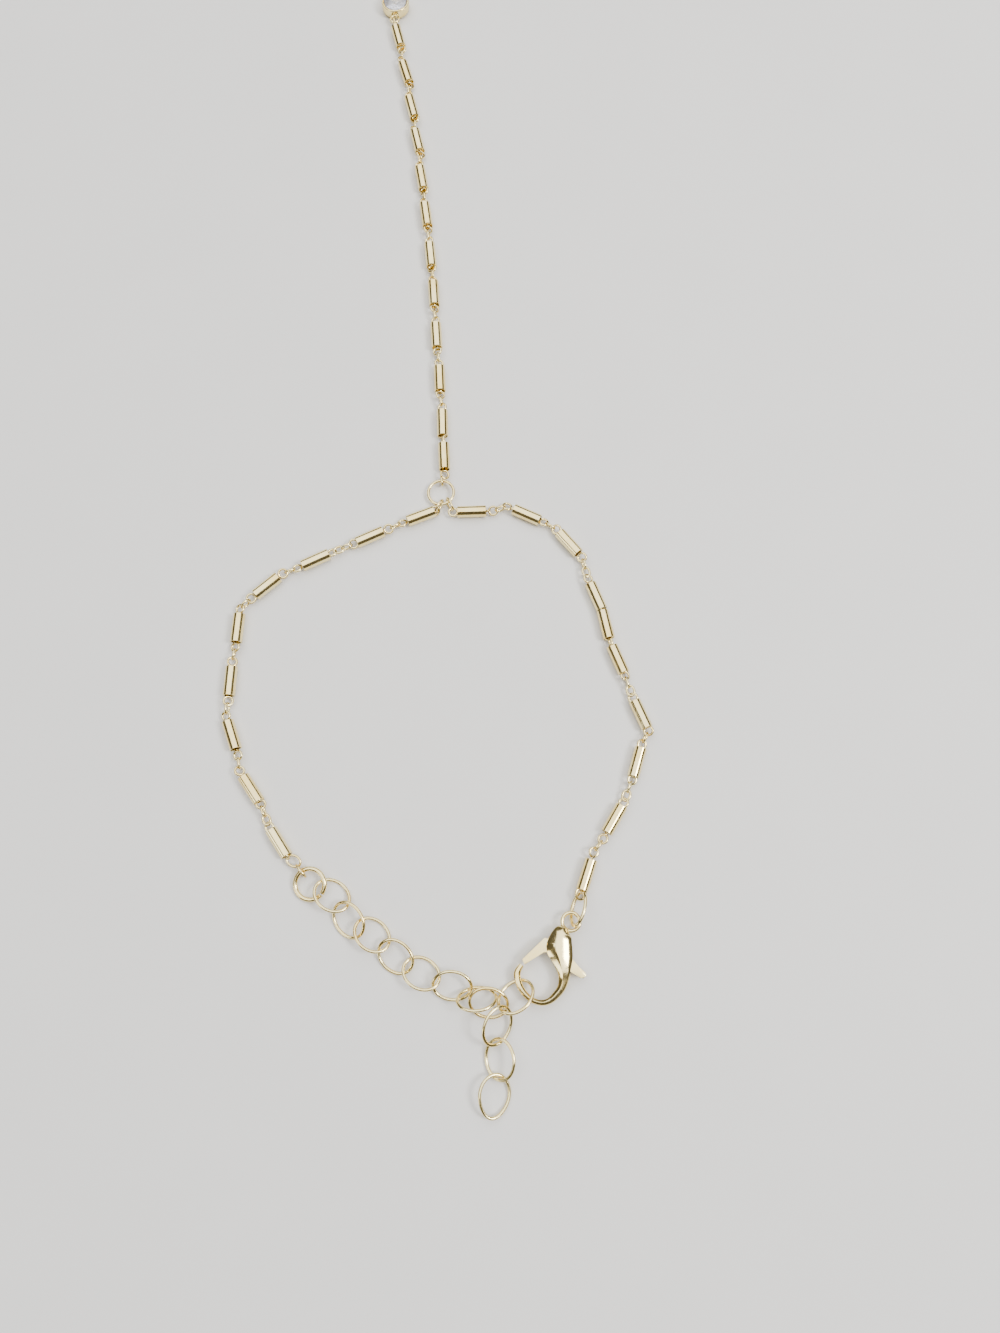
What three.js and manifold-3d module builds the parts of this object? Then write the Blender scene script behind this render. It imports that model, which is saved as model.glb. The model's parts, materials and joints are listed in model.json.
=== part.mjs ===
// A hand chain lying on a flat surface: a wrist loop and a straight strand of short tubes, an extender chain
// with a lobster clasp, a round crystal in a cup, and a plain finger ring.
// Millimetres, +Z up. +Y runs from the wrist loop to the finger ring, and the part rests on z = 0.
import * as THREE from "three";
import { ConvexGeometry } from "three/addons/geometries/ConvexGeometry.js";
import { mergeVertices } from "three/addons/utils/BufferGeometryUtils.js";
import Module from "manifold-3d";

// Tubes of the chain, and how much two wires of one solid run into each other where they touch.
const TUBE_LENGTH = 4.0;
const TUBE_DIAMETER = 1.6;
const TUBE_WALL = 0.14;
const TUBE_DISH = 0.2;
const TUBE_SIDES = 10;
const ROD_DIAMETER = 0.5;
const ROD_SUNK = 0.4;
const FUSE = 0.05;
const SMOOTHING = 0.02;

// Rings and links of wire. Lengths and widths are outer sizes.
const TUBE_EYE = { length: 1.5, width: 1.5, wire: 0.32 };
const CLASP_SIDE_EYE = { length: 1.8, width: 1.8, wire: 0.32 };
const SMALL_LINK = { length: 1.75, width: 1.3, wire: 0.32 };
const END_LINK = { length: 2.2, width: 1.7, wire: 0.32 };
const TIE_LINK = { length: 2.2, width: 1.6, wire: 0.32 };
const JUNCTION_TIE = { length: 2.2, width: 1.6, wire: 0.32 };
const JUNCTION_RING = { length: 4.0, width: 4.0, wire: 0.4 };
const JUMP_RING = { length: 4.5, width: 4.5, wire: 0.6 };
const EXTENDER_LINK = { length: 5.2, width: 4.2, wire: 0.42 };
const LAST_LINK = { length: 5.0, width: 4.2, wire: 0.42, point: 0.4 };
const CLASP_LINK = { length: 4.7, width: 3.0, wire: 0.45 };
const CUP_EYE = { length: 1.7, width: 1.7, wire: 0.35 };
const FINGER_TIE = { length: 3.4, width: 2.6, wire: 0.4 };
const JUMP_RING_CUT = 0.2;
const SMALL_RING_STEPS = 10;
const SMALL_WIRE_SIDES = 5;
const RING_STEPS = 12;
const WIRE_SIDES = 5;

// Roll of an eye about the chain's line, in degrees.
const EYE_ROLL = 25;

// The crystal and its cup, with an eye on each side.
const CUP_DIAMETER = 4.4;
const CUP_HEIGHT = 1.7;
const CUP_WALL = 0.3;
const CUP_FLOOR = 0.4;
const CUP_BEVEL = 0.35;
const CUP_SIDES = 16;
const CUP_EYE_OUT = 0.6;
const CRYSTAL_CLEARANCE = 0.06;
const CRYSTAL_GIRDLE = 0.15;
const CRYSTAL_RISE = 0.35;
const CRYSTAL_TABLE = 0.55;
const CRYSTAL_FACETS = 8;

// The finger ring, raised at the cup's side by the tie ring that passes under its wire.
const FINGER_BORE = 17.0;
const FINGER_WIRE = 1.0;
const FINGER_STEPS = 32;
const FINGER_WIRE_SIDES = 6;
const FINGER_RISE = 0.8;
const FINGER_PLAY = 0.2;
const FINGER_EYE_HEIGHT = 1.2;

// The clasp.
const CLASP_LENGTH = 12.0;
const CLASP_BODY_WIDTH = 3.0;
const CLASP_THICKNESS = 2.2;
const CLASP_EYE = { length: 2.7, width: 2.7, wire: 0.47 };
const LEVER_PLATE = 0.8;
const LEVER_GATE = 1.3;
const LEVER_HUB = 0.95;
const LEVER_CLEARANCE = 0.12;
const PIN_DIAMETER = 0.6;
const CLASP_STEPS = 26;

// Where the tubes lie: the middle of each and the way that its far end points, in degrees. The strand runs
// from the cup down to the junction ring, whose centre is near 0, 0.
const STRAND_TUBES = [
  { x: -7.9, y: 79.6, heading: -76 },
  { x: -6.5, y: 72.5, heading: -74 },
  { x: -5.4, y: 65.8, heading: -76 },
  { x: -4.4, y: 59.5, heading: -77 },
  { x: -3.6, y: 52.6, heading: -80 },
  { x: -2.8, y: 46.0, heading: -82 },
  { x: -2.0, y: 38.9, heading: -84 },
  { x: -1.4, y: 32.3, heading: -86 },
  { x: -0.9, y: 25.2, heading: -86 },
  { x: -0.3, y: 18.1, heading: -87 },
  { x: 0.2, y: 11.0, heading: -88 },
  { x: 0.5, y: 5.8, heading: -87 },
];
const RIGHT_TUBES = [
  { x: 4.5, y: -2.6, heading: 2 },
  { x: 12.2, y: -3.1, heading: -25 },
  { x: 18.0, y: -7.3, heading: -50 },
  { x: 21.6, y: -15.1, heading: -68 },
  { x: 22.8, y: -19.1, heading: -78 },
  { x: 24.3, y: -24.0, heading: -68 },
  { x: 27.1, y: -31.5, heading: -67 },
  { x: 26.4, y: -37.9, heading: -107 },
  { x: 23.2, y: -45.3, heading: -121 },
  { x: 19.5, y: -52.3, heading: -109 },
];
const LEFT_TUBES = [
  { x: -2.6, y: -3.3, heading: 202 },
  { x: -9.6, y: -6.4, heading: 205 },
  { x: -17.0, y: -9.8, heading: 206 },
  { x: -23.5, y: -13.6, heading: 221 },
  { x: -27.1, y: -19.6, heading: 267 },
  { x: -27.6, y: -27.0, heading: 268 },
  { x: -26.9, y: -34.3, heading: 290 },
  { x: -23.9, y: -41.4, heading: 305 },
  { x: -19.9, y: -48.3, heading: 304 },
];

// Where the rings that end the chains lie: centre, the way of the long axis, the roll about it and the
// pitch of its front end, in degrees. Each is one solid with the chain that it ends.
const STRAND_END = { x: 0.24, y: 2.08, z: 0.76, heading: -82, roll: 91, pitch: 10 };
const LEFT_START = { x: -0.05, y: -1.77, z: 0.8, heading: 60, roll: 85, pitch: 3 };
const RIGHT_START = { x: 1.42, y: -1.52, z: 0.85, heading: -64, roll: 80, pitch: -2 };
const LEFT_END = { x: -17.9, y: -50.6, z: 0.77, heading: -25, roll: 12 };
const LEFT_END_TIE = { z: 0.87, heading: -50, roll: 88 };

// How far an eye's middle stands from its tube's end, and its roll, where a single ring or the cup holds it.
const STRAND_START_EYE = { reach: 1.05, roll: 90 };
const LEFT_START_EYE = { reach: 0.12, roll: 38 };
const RIGHT_START_EYE = { reach: 0.6, roll: 2 };
const RIGHT_END_EYE = { reach: 0.51, roll: -30 };

// Where the single rings and links lie.
const RING_PLACES = [
  { name: "junction_ring", size: JUNCTION_RING, x: 0.16, y: 0.28, z: 0.76, heading: 0, roll: 0, pitch: 4 },
  { name: "end_jump_ring", size: JUMP_RING, x: -15.68, y: -53.5, z: 0.76, heading: -25, roll: 12, pitch: 4 },
  { name: "extender_link_1", size: EXTENDER_LINK, x: -12.8, y: -54.9, z: 0.92, heading: -36, roll: -22, pitch: 2 },
  { name: "extender_link_2", size: EXTENDER_LINK, x: -10.55, y: -57.9, z: 0.98, heading: -53, roll: 24, pitch: 0 },
  { name: "extender_link_3", size: EXTENDER_LINK, x: -7.55, y: -59.7, z: 0.93, heading: -39, roll: -21, pitch: -2 },
  { name: "extender_link_4", size: EXTENDER_LINK, x: -4.55, y: -62.3, z: 0.82, heading: -41, roll: 18, pitch: -4 },
  { name: "extender_link_5", size: EXTENDER_LINK, x: -1.3, y: -64.3, z: 0.95, heading: -30, roll: -21, pitch: 6 },
  { name: "extender_link_6", size: EXTENDER_LINK, x: 2.55, y: -65.75, z: 1.03, heading: -5, roll: 25, pitch: 2 },
  { name: "extender_link_7", size: EXTENDER_LINK, x: 5.6, y: -67.25, z: 1.67, heading: 5, roll: -49, pitch: -1 },
  { name: "extender_link_8", size: EXTENDER_LINK, x: 7.05, y: -67.75, z: 0.97, heading: -14, roll: 21, pitch: -9 },
  { name: "extender_link_9", size: EXTENDER_LINK, x: 10.4, y: -67.0, z: 1.3, heading: 42, roll: -32, pitch: -11 },
  { name: "tail_link_1", size: EXTENDER_LINK, x: 8.15, y: -70.35, z: 1.66, heading: -111, roll: -35, pitch: -4 },
  { name: "tail_link_2", size: EXTENDER_LINK, x: 8.45, y: -74.25, z: 1.09, heading: -84, roll: 27, pitch: -1 },
  { name: "tail_link_3", size: LAST_LINK, x: 7.8, y: -78.25, z: 0.84, heading: -98, roll: -19, pitch: -1 },
  { name: "clasp_link", size: CLASP_LINK, x: 18.29, y: -56.5, z: 1.35, heading: -104, roll: 58, pitch: 8 },
];

// Where the cup, the clasp's eye and the finger ring's line lie.
const CUP_PLACE = { x: -8.5, y: 86.0 };
const CUP_TO_STRAND = -92;
const CUP_TO_FINGER = 106.8;
const CLASP_PLACE = { x: 17.35, y: -58.1, z: 0, heading: -109 };

// The clasp's body from its eye round to the tip of its hook: along and side are shares of the clasp's
// length, width is a share of the body's width, and thick is a share of the clasp's thickness.
const BODY_SECTIONS = [
  { along: 0.075, side: -0.03, width: 0.27, thick: 0.5 },
  { along: 0.12, side: -0.047, width: 0.7, thick: 0.8 },
  { along: 0.185, side: -0.048, width: 0.9, thick: 1.0 },
  { along: 0.285, side: -0.035, width: 1.08, thick: 1.0 },
  { along: 0.37, side: 0.022, width: 0.9, thick: 0.95 },
  { along: 0.49, side: 0.084, width: 0.57, thick: 0.8 },
  { along: 0.57, side: 0.107, width: 0.42, thick: 0.65 },
  { along: 0.66, side: 0.109, width: 0.34, thick: 0.55 },
  { along: 0.745, side: 0.078, width: 0.3, thick: 0.48 },
  { along: 0.82, side: 0.03, width: 0.25, thick: 0.42 },
  { along: 0.865, side: -0.05, width: 0.22, thick: 0.38 },
  { along: 0.86, side: -0.165, width: 0.22, thick: 0.38 },
  { along: 0.8, side: -0.275, width: 0.25, thick: 0.4 },
  { along: 0.725, side: -0.34, width: 0.27, thick: 0.42 },
  { along: 0.655, side: -0.368, width: 0.27, thick: 0.45 },
  { along: 0.575, side: -0.35, width: 0.2, thick: 0.45 },
];

// The body's section: across is a share of its width and up a share of its thickness. A ridge runs along the
// top and the bottom, nearer to the inside of the hook.
const BODY_OUTLINE = [
  { across: 0.5, up: 0.26 },
  { across: 0.28, up: 0.42 },
  { across: -0.15, up: 0.5 },
  { across: -0.5, up: 0.26 },
  { across: -0.5, up: -0.26 },
  { across: -0.15, up: -0.5 },
  { across: 0.28, up: -0.42 },
  { across: 0.5, up: -0.26 },
];

// The lever's outline round its pivot, in shares of the clasp's length: the gate and the thumb tab.
const PIVOT = { along: 0.275, side: -0.078 };
const GATE_OUTLINE = [
  { along: -0.045, side: -0.045 },
  { along: -0.03, side: -0.135 },
  { along: 0.245, side: -0.283 },
  { along: 0.285, side: -0.245 },
  { along: 0.11, side: -0.1 },
  { along: 0.05, side: 0.03 },
];
const GATE_BLOCK_FROM = 0.15;
const TAB_OUTLINE = [
  { along: -0.05, side: -0.02 },
  { along: -0.06, side: 0.1 },
  { along: 0.07, side: 0.2 },
  { along: 0.125, side: 0.29 },
  { along: 0.16, side: 0.37 },
  { along: 0.185, side: 0.388 },
  { along: 0.218, side: 0.372 },
  { along: 0.225, side: 0.34 },
  { along: 0.2, side: 0.23 },
  { along: 0.1, side: 0.06 },
];

const GOLD = { color: 0xd8c27a, metalness: 1.0, roughness: 0.18 };
const GLASS = { color: 0xdcdde6, metalness: 0.0, roughness: 0.05, transparent: true, opacity: 0.35 };

const wasm = await Module();
wasm.setup();
const rad = THREE.MathUtils.degToRad;

// Geometry to solid and back.
function solidOf(geometry) {
  const bare = geometry.clone();
  bare.deleteAttribute("normal");
  bare.deleteAttribute("uv");
  const merged = mergeVertices(bare, 1e-4);
  const mesh = new wasm.Mesh({
    numProp: 3,
    vertProperties: merged.getAttribute("position").array,
    triVerts: new Uint32Array(merged.index.array),
  });
  return new wasm.Manifold(mesh);
}

// A solid without the specks that a join can leave inside it.
function biggest(solid) {
  return solid.decompose().reduce((most, next) => (next.volume() > most.volume() ? next : most));
}

function geometryOf(solid) {
  const mesh = biggest(solid.simplify(SMOOTHING)).getMesh();
  const geometry = new THREE.BufferGeometry();
  geometry.setAttribute("position", new THREE.BufferAttribute(new Float32Array(mesh.vertProperties), 3));
  geometry.setIndex(new THREE.BufferAttribute(new Uint32Array(mesh.triVerts), 1));
  geometry.computeVertexNormals();
  return geometry;
}

function fused(geometries) {
  return geometries.map(solidOf).reduce((whole, next) => whole.add(next));
}

function meshOf(name, geometry, look) {
  const mesh = new THREE.Mesh(geometry, new THREE.MeshStandardMaterial(look));
  mesh.name = name;
  return mesh;
}

// A geometry moved from the middle of the frame to its place, with its long axis along the heading.
function placed(geometry, { x, y, z, heading, roll = 0, pitch = 0 }) {
  const turn = new THREE.Euler(rad(roll), -rad(pitch), rad(heading), "ZYX");
  const matrix = new THREE.Matrix4().makeRotationFromEuler(turn).setPosition(x, y, z);
  return geometry.applyMatrix4(matrix);
}

// A point moved along a heading.
function step(point, heading, length) {
  return {
    x: point.x + length * Math.cos(rad(heading)),
    y: point.y + length * Math.sin(rad(heading)),
  };
}

// A closed oval ring of round wire, flat, with its long axis along x. A point draws its front end out. The
// steps and sides are turned so that a straight edge of the wire lies inside each end of the oval.
function ovalRing(size, steps = RING_STEPS, sides = WIRE_SIDES) {
  const point = size.point ?? 0;
  const a = (size.length - size.wire) / 2;
  const b = (size.width - size.wire) / 2;
  const geometry = new THREE.TorusGeometry(a, size.wire / 2, sides, steps);
  const places = geometry.getAttribute("position");
  for (let i = 0; i < places.count; i += 1) {
    const u = Math.atan2(places.getY(i), places.getX(i)) + Math.PI / steps;
    const v = Math.atan2(places.getZ(i), Math.hypot(places.getX(i), places.getY(i)) - a) + Math.PI / sides;
    const out = (Math.cos(v) * size.wire) / 2;
    const front = Math.max(0, Math.cos(u));
    const slope = a * Math.sin(u) + 3 * point * front ** 2 * Math.sin(u);
    const normal = new THREE.Vector2(b * Math.cos(u), slope).normalize();
    const x = a * Math.cos(u) + point * front ** 3 + normal.x * out;
    places.setXYZ(i, x, b * Math.sin(u) + normal.y * out, (Math.sin(v) * size.wire) / 2);
  }
  return geometry;
}

function smallRing(size, place) {
  return placed(ovalRing(size, SMALL_RING_STEPS, SMALL_WIRE_SIDES), place);
}

// One tube lying on the surface, with a solid core and a hollow with a thin rim at each end.
function tube({ x, y, heading }) {
  const half = TUBE_LENGTH / 2;
  const outer = TUBE_DIAMETER / 2;
  const bore = outer - TUBE_WALL;
  const profile = [
    new THREE.Vector2(0, TUBE_DISH - half),
    new THREE.Vector2(bore, -half),
    new THREE.Vector2(outer, -half),
    new THREE.Vector2(outer, half),
    new THREE.Vector2(bore, half),
    new THREE.Vector2(0, half - TUBE_DISH),
  ];
  const geometry = new THREE.LatheGeometry(profile, TUBE_SIDES).rotateZ(-Math.PI / 2);
  return placed(geometry, { x, y, z: outer, heading });
}

// The round eye that stands out of a tube's end, on a stem where the tube doesn't reach it. The reach runs
// from the tube's end to the eye's middle.
function tubeEye(end, heading, reach, roll, size = TUBE_EYE) {
  const z = TUBE_DIAMETER / 2;
  const ring = smallRing(size, { ...step(end, heading, reach), z, heading, roll });
  const stemStart = -TUBE_DISH - FUSE;
  const stemEnd = reach - (size.length - size.wire) / 2;
  if (stemEnd - size.wire / 2 < stemStart) return [ring];
  const stem = new THREE.CylinderGeometry(size.wire / 2, size.wire / 2, stemEnd - stemStart, SMALL_WIRE_SIDES);
  const middle = step(end, heading, (stemStart + stemEnd) / 2);
  return [ring, placed(stem.rotateZ(-Math.PI / 2), { ...middle, z, heading })];
}

// How far a small ring's hole reaches from its middle, and how far apart the middles of two linked rings lie
// when their wires just run into each other.
function holeReach({ length, wire }) {
  return ((length - wire) / 2) * Math.cos(Math.PI / SMALL_RING_STEPS) - wire / 2;
}

function span(one, other) {
  return holeReach(one) + holeReach(other) + FUSE;
}

// The eye's reach that puts it a given distance from a ring.
function reachTo(end, heading, place, distance) {
  const towards = step({ x: 0, y: 0 }, heading, 1);
  const dx = place.x - end.x;
  const dy = place.y - end.y;
  const along = dx * towards.x + dy * towards.y;
  const aside2 = dx ** 2 + dy ** 2 - along ** 2;
  return along - Math.sqrt(Math.max(0, distance ** 2 - aside2));
}

// The small eyes and links between two tubes are the chain's finest pieces, so a plain rod stands for them.
function rodBetween(one, other) {
  const start = step(one, one.heading, TUBE_LENGTH / 2 - ROD_SUNK);
  const end = step(other, other.heading, ROD_SUNK - TUBE_LENGTH / 2);
  const length = Math.hypot(end.x - start.x, end.y - start.y);
  const heading = THREE.MathUtils.radToDeg(Math.atan2(end.y - start.y, end.x - start.x));
  const rod = new THREE.CylinderGeometry(ROD_DIAMETER / 2, ROD_DIAMETER / 2, length, WIRE_SIDES + 1);
  return placed(rod.rotateZ(-Math.PI / 2), { ...step(start, heading, length / 2), z: TUBE_DIAMETER / 2, heading });
}

// A whole chain of tubes.
function tubeChain(rows) {
  return [...rows.map(tube), ...rows.slice(1).map((row, i) => rodBetween(rows[i], row))];
}

function startOf(rows) {
  return step(rows[0], rows[0].heading, -TUBE_LENGTH / 2);
}

function endOf(rows) {
  const row = rows[rows.length - 1];
  return step(row, row.heading, TUBE_LENGTH / 2);
}

function handStrand() {
  const { reach, roll } = STRAND_START_EYE;
  const end = endOf(STRAND_TUBES);
  const heading = STRAND_TUBES[STRAND_TUBES.length - 1].heading;
  const endReach = reachTo(end, heading, STRAND_END, span(TUBE_EYE, SMALL_LINK));
  return fused([
    ...tubeChain(STRAND_TUBES),
    ...tubeEye(startOf(STRAND_TUBES), STRAND_TUBES[0].heading + 180, reach, roll),
    ...tubeEye(end, heading, endReach, -EYE_ROLL),
    smallRing(SMALL_LINK, STRAND_END),
  ]);
}

function wristChainRight() {
  const { reach, roll } = RIGHT_END_EYE;
  const back = RIGHT_TUBES[0].heading + 180;
  const last = RIGHT_TUBES[RIGHT_TUBES.length - 1].heading;
  return fused([
    ...tubeChain(RIGHT_TUBES),
    ...tubeEye(startOf(RIGHT_TUBES), back, RIGHT_START_EYE.reach, RIGHT_START_EYE.roll),
    smallRing(END_LINK, RIGHT_START),
    ...tubeEye(endOf(RIGHT_TUBES), last, reach, roll, CLASP_SIDE_EYE),
  ]);
}

function wristChainLeft() {
  const back = LEFT_TUBES[0].heading + 180;
  const end = endOf(LEFT_TUBES);
  const heading = LEFT_TUBES[LEFT_TUBES.length - 1].heading;
  const endReach = reachTo(end, heading, LEFT_END, span(TUBE_EYE, END_LINK));
  const tie = step(LEFT_END, LEFT_END_TIE.heading, span(END_LINK, TIE_LINK));
  return fused([
    ...tubeChain(LEFT_TUBES),
    ...tubeEye(startOf(LEFT_TUBES), back, LEFT_START_EYE.reach, LEFT_START_EYE.roll),
    smallRing(JUNCTION_TIE, LEFT_START),
    ...tubeEye(end, heading, endReach, 80),
    smallRing(END_LINK, LEFT_END),
    smallRing(TIE_LINK, { ...tie, ...LEFT_END_TIE }),
  ]);
}

// The jump ring's open joint, cut at its lower right.
function cutOpen(solid, place, size) {
  const cut = new THREE.BoxGeometry(size.length, JUMP_RING_CUT, size.length);
  const middle = step(place, -40, size.length / 2);
  return solid.subtract(solidOf(placed(cut, { ...middle, z: place.z, heading: -40 })));
}

function singleRings() {
  return RING_PLACES.map(({ name, size, ...place }) => {
    const solid = solidOf(placed(ovalRing(size), place));
    return [name, name === "end_jump_ring" ? cutOpen(solid, place, size) : solid];
  });
}

// The cup: a short wall with a rounded foot round an open pocket, and an eye on each side.
function crystalCup() {
  const outer = CUP_DIAMETER / 2;
  const inner = outer - CUP_WALL;
  const profile = [
    new THREE.Vector2(0, 0),
    new THREE.Vector2(outer - CUP_BEVEL, 0),
    new THREE.Vector2(outer, CUP_BEVEL),
    new THREE.Vector2(outer, CUP_HEIGHT),
    new THREE.Vector2(inner, CUP_HEIGHT),
    new THREE.Vector2(inner, CUP_FLOOR),
    new THREE.Vector2(0, CUP_FLOOR),
  ];
  const cup = new THREE.LatheGeometry(profile, CUP_SIDES).rotateX(Math.PI / 2);
  const sides = [
    { heading: CUP_TO_STRAND, z: TUBE_DIAMETER / 2 },
    { heading: CUP_TO_FINGER, z: FINGER_EYE_HEIGHT },
  ];
  const eyes = sides.map(({ heading, z }) => {
    const place = step(CUP_PLACE, heading, outer + CUP_EYE_OUT);
    return placed(ovalRing(CUP_EYE), { ...place, z, heading });
  });
  return fused([placed(cup, { ...CUP_PLACE, z: 0, heading: 0 }), ...eyes]);
}

// The cut crystal: a flat table, a crown of kite facets, a thin girdle and a pointed back.
function crystal() {
  const radius = CUP_DIAMETER / 2 - CUP_WALL - CRYSTAL_CLEARANCE;
  const top = CUP_HEIGHT + CRYSTAL_RISE;
  const foot = CUP_FLOOR + CRYSTAL_CLEARANCE;
  const girdle = CUP_HEIGHT - CRYSTAL_GIRDLE - CRYSTAL_CLEARANCE;
  const rings = [
    { share: CRYSTAL_TABLE, z: top, count: CRYSTAL_FACETS, turn: 0.5 },
    { share: 0.8, z: top - 0.45 * (top - girdle - CRYSTAL_GIRDLE), count: CRYSTAL_FACETS, turn: 0 },
    { share: 1, z: girdle + CRYSTAL_GIRDLE, count: 2 * CRYSTAL_FACETS, turn: 0 },
    { share: 1, z: girdle, count: 2 * CRYSTAL_FACETS, turn: 0 },
    { share: 0.45, z: foot + 0.4 * (girdle - foot), count: CRYSTAL_FACETS, turn: 0.5 },
  ];
  const points = [new THREE.Vector3(0, 0, foot)];
  rings.forEach(({ share, z, count, turn }) => {
    for (let i = 0; i < count; i += 1) {
      const angle = (2 * Math.PI * (i + turn)) / count;
      points.push(new THREE.Vector3(share * radius * Math.cos(angle), share * radius * Math.sin(angle), z));
    }
  });
  return solidOf(placed(new ConvexGeometry(points), { ...CUP_PLACE, z: 0, heading: 0 }));
}

// The finger ring lies beyond the cup, and the tie ring joins the two.
function fingerPieces() {
  const eyeOut = CUP_DIAMETER / 2 + CUP_EYE_OUT + (CUP_EYE.length - CUP_EYE.wire) / 2;
  const tieOut = eyeOut + (FINGER_TIE.length - FINGER_TIE.wire) / 2 - CUP_EYE.wire - FINGER_TIE.wire / 2;
  const wireOut = tieOut + FINGER_TIE.length / 2 - FINGER_TIE.wire - FINGER_WIRE / 2 - FINGER_PLAY;
  const radius = (FINGER_BORE + FINGER_WIRE) / 2;
  const outer = FINGER_BORE + 2 * FINGER_WIRE;
  const ring = { length: outer, width: outer, wire: FINGER_WIRE };
  const ringPlace = {
    ...step(CUP_PLACE, CUP_TO_FINGER, wireOut + radius),
    z: (FINGER_WIRE + FINGER_RISE) / 2,
    heading: CUP_TO_FINGER,
    pitch: THREE.MathUtils.radToDeg(-Math.asin(FINGER_RISE / 2 / radius)),
  };
  const tiePlace = {
    ...step(CUP_PLACE, CUP_TO_FINGER, tieOut),
    z: FINGER_TIE.width / 2,
    heading: CUP_TO_FINGER,
    roll: 82,
  };
  return [
    ["finger_ring", solidOf(placed(ovalRing(ring, FINGER_STEPS, FINGER_WIRE_SIDES), ringPlace))],
    ["finger_tie_ring", solidOf(placed(ovalRing(FINGER_TIE), tiePlace))],
  ];
}

// A closed skin over sections of one outline along a flat curve: middle, width and thickness at each.
function loft(sections, outline) {
  const sides = outline.length;
  const middles = sections.map(({ x, y }) => new THREE.Vector2(x, y));
  const positions = [];
  const index = [];
  sections.forEach(({ width, thick }, i) => {
    const ahead = middles[Math.min(i + 1, middles.length - 1)];
    const behind = middles[Math.max(i - 1, 0)];
    const along = ahead.clone().sub(behind).normalize();
    outline.forEach(({ across, up }) => {
      const out = across * width;
      positions.push(middles[i].x - along.y * out, middles[i].y + along.x * out, up * thick);
    });
  });
  for (let i = 0; i < sections.length - 1; i += 1) {
    for (let k = 0; k < sides; k += 1) {
      const a = i * sides + k;
      const b = i * sides + ((k + 1) % sides);
      index.push(a, b, b + sides, a, b + sides, a + sides);
    }
  }
  const last = (sections.length - 1) * sides;
  for (let k = 1; k < sides - 1; k += 1) {
    index.push(0, k + 1, k);
    index.push(last, last + k, last + k + 1);
  }
  const geometry = new THREE.BufferGeometry();
  geometry.setAttribute("position", new THREE.Float32BufferAttribute(positions, 3));
  geometry.setIndex(index);
  return geometry;
}

// The body's sections read from smooth curves through the table's rows.
function bodySections() {
  const middles = BODY_SECTIONS.map(
    ({ along, side }) => new THREE.Vector3(along * CLASP_LENGTH, side * CLASP_LENGTH, 0),
  );
  const sizes = BODY_SECTIONS.map(
    ({ width, thick }) => new THREE.Vector3(width * CLASP_BODY_WIDTH, thick * CLASP_THICKNESS, 0),
  );
  const line = new THREE.CatmullRomCurve3(middles);
  const measures = new THREE.CatmullRomCurve3(sizes);
  return Array.from({ length: CLASP_STEPS + 1 }, (_, i) => {
    const middle = line.getPoint(i / CLASP_STEPS);
    const size = measures.getPoint(i / CLASP_STEPS);
    return { x: middle.x, y: middle.y, width: size.x, thick: size.y };
  });
}

// A flat plate of a given outline and thickness, with its middle height at 0.
function plate(points, thick) {
  const shape = new THREE.Shape(points.map(({ x, y }) => new THREE.Vector2(x, y)));
  const geometry = new THREE.ExtrudeGeometry(shape, { depth: thick, bevelEnabled: false });
  return geometry.translate(0, 0, -thick / 2);
}

function disc(radius, thick, middle, sides = 16) {
  const geometry = new THREE.CylinderGeometry(radius, radius, thick, sides).rotateX(Math.PI / 2);
  return geometry.translate(middle.x, middle.y, 0);
}

const pivot = { x: PIVOT.along * CLASP_LENGTH, y: PIVOT.side * CLASP_LENGTH };

function outline(rows) {
  return rows.map(({ along, side }) => ({
    x: pivot.x + along * CLASP_LENGTH,
    y: pivot.y + side * CLASP_LENGTH,
  }));
}

// The lever: gate, hub and thumb tab in one plate, with a thicker block where the gate is clear of the body.
function claspLever() {
  const hole = PIN_DIAMETER / 2 + LEVER_CLEARANCE;
  const gate = outline(GATE_OUTLINE);
  const block = solidOf(plate(gate, LEVER_GATE));
  const keepOff = solidOf(disc(GATE_BLOCK_FROM * CLASP_LENGTH, LEVER_GATE + 1, pivot, 24));
  return solidOf(plate(gate, LEVER_PLATE))
    .add(solidOf(plate(outline(TAB_OUTLINE), LEVER_PLATE)))
    .add(solidOf(disc(LEVER_HUB, LEVER_PLATE, pivot)))
    .add(block.subtract(keepOff))
    .subtract(solidOf(disc(hole, LEVER_PLATE + 1, pivot)));
}

// The body: the lofted hook with its eye, a slot for the lever and the pin across the slot.
function claspBody() {
  const slotHeight = LEVER_PLATE + 2 * LEVER_CLEARANCE;
  const slotRadius = GATE_BLOCK_FROM * CLASP_LENGTH - LEVER_CLEARANCE;
  const reach = CLASP_LENGTH * 0.5;
  const tabSlot = outline([
    { along: -0.1, side: 0.0 },
    { along: 0.06, side: -0.02 },
    { along: 0.225, side: 0.205 },
    { along: 0.23, side: 0.45 },
    { along: -0.1, side: 0.45 },
  ]);
  const slot = solidOf(disc(slotRadius, slotHeight, pivot, 24)).add(solidOf(plate(tabSlot, slotHeight)));
  const body = solidOf(loft(bodySections(), BODY_OUTLINE));
  const pin = solidOf(disc(PIN_DIAMETER / 2, 0.9 * CLASP_THICKNESS, pivot, 10));
  const eye = solidOf(ovalRing(CLASP_EYE));
  return body.subtract(slot).add(pin).add(eye);
}

function claspPlaced(solid) {
  const geometry = geometryOf(solid);
  return placed(geometry, { ...CLASP_PLACE, z: CLASP_THICKNESS / 2 });
}

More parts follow.
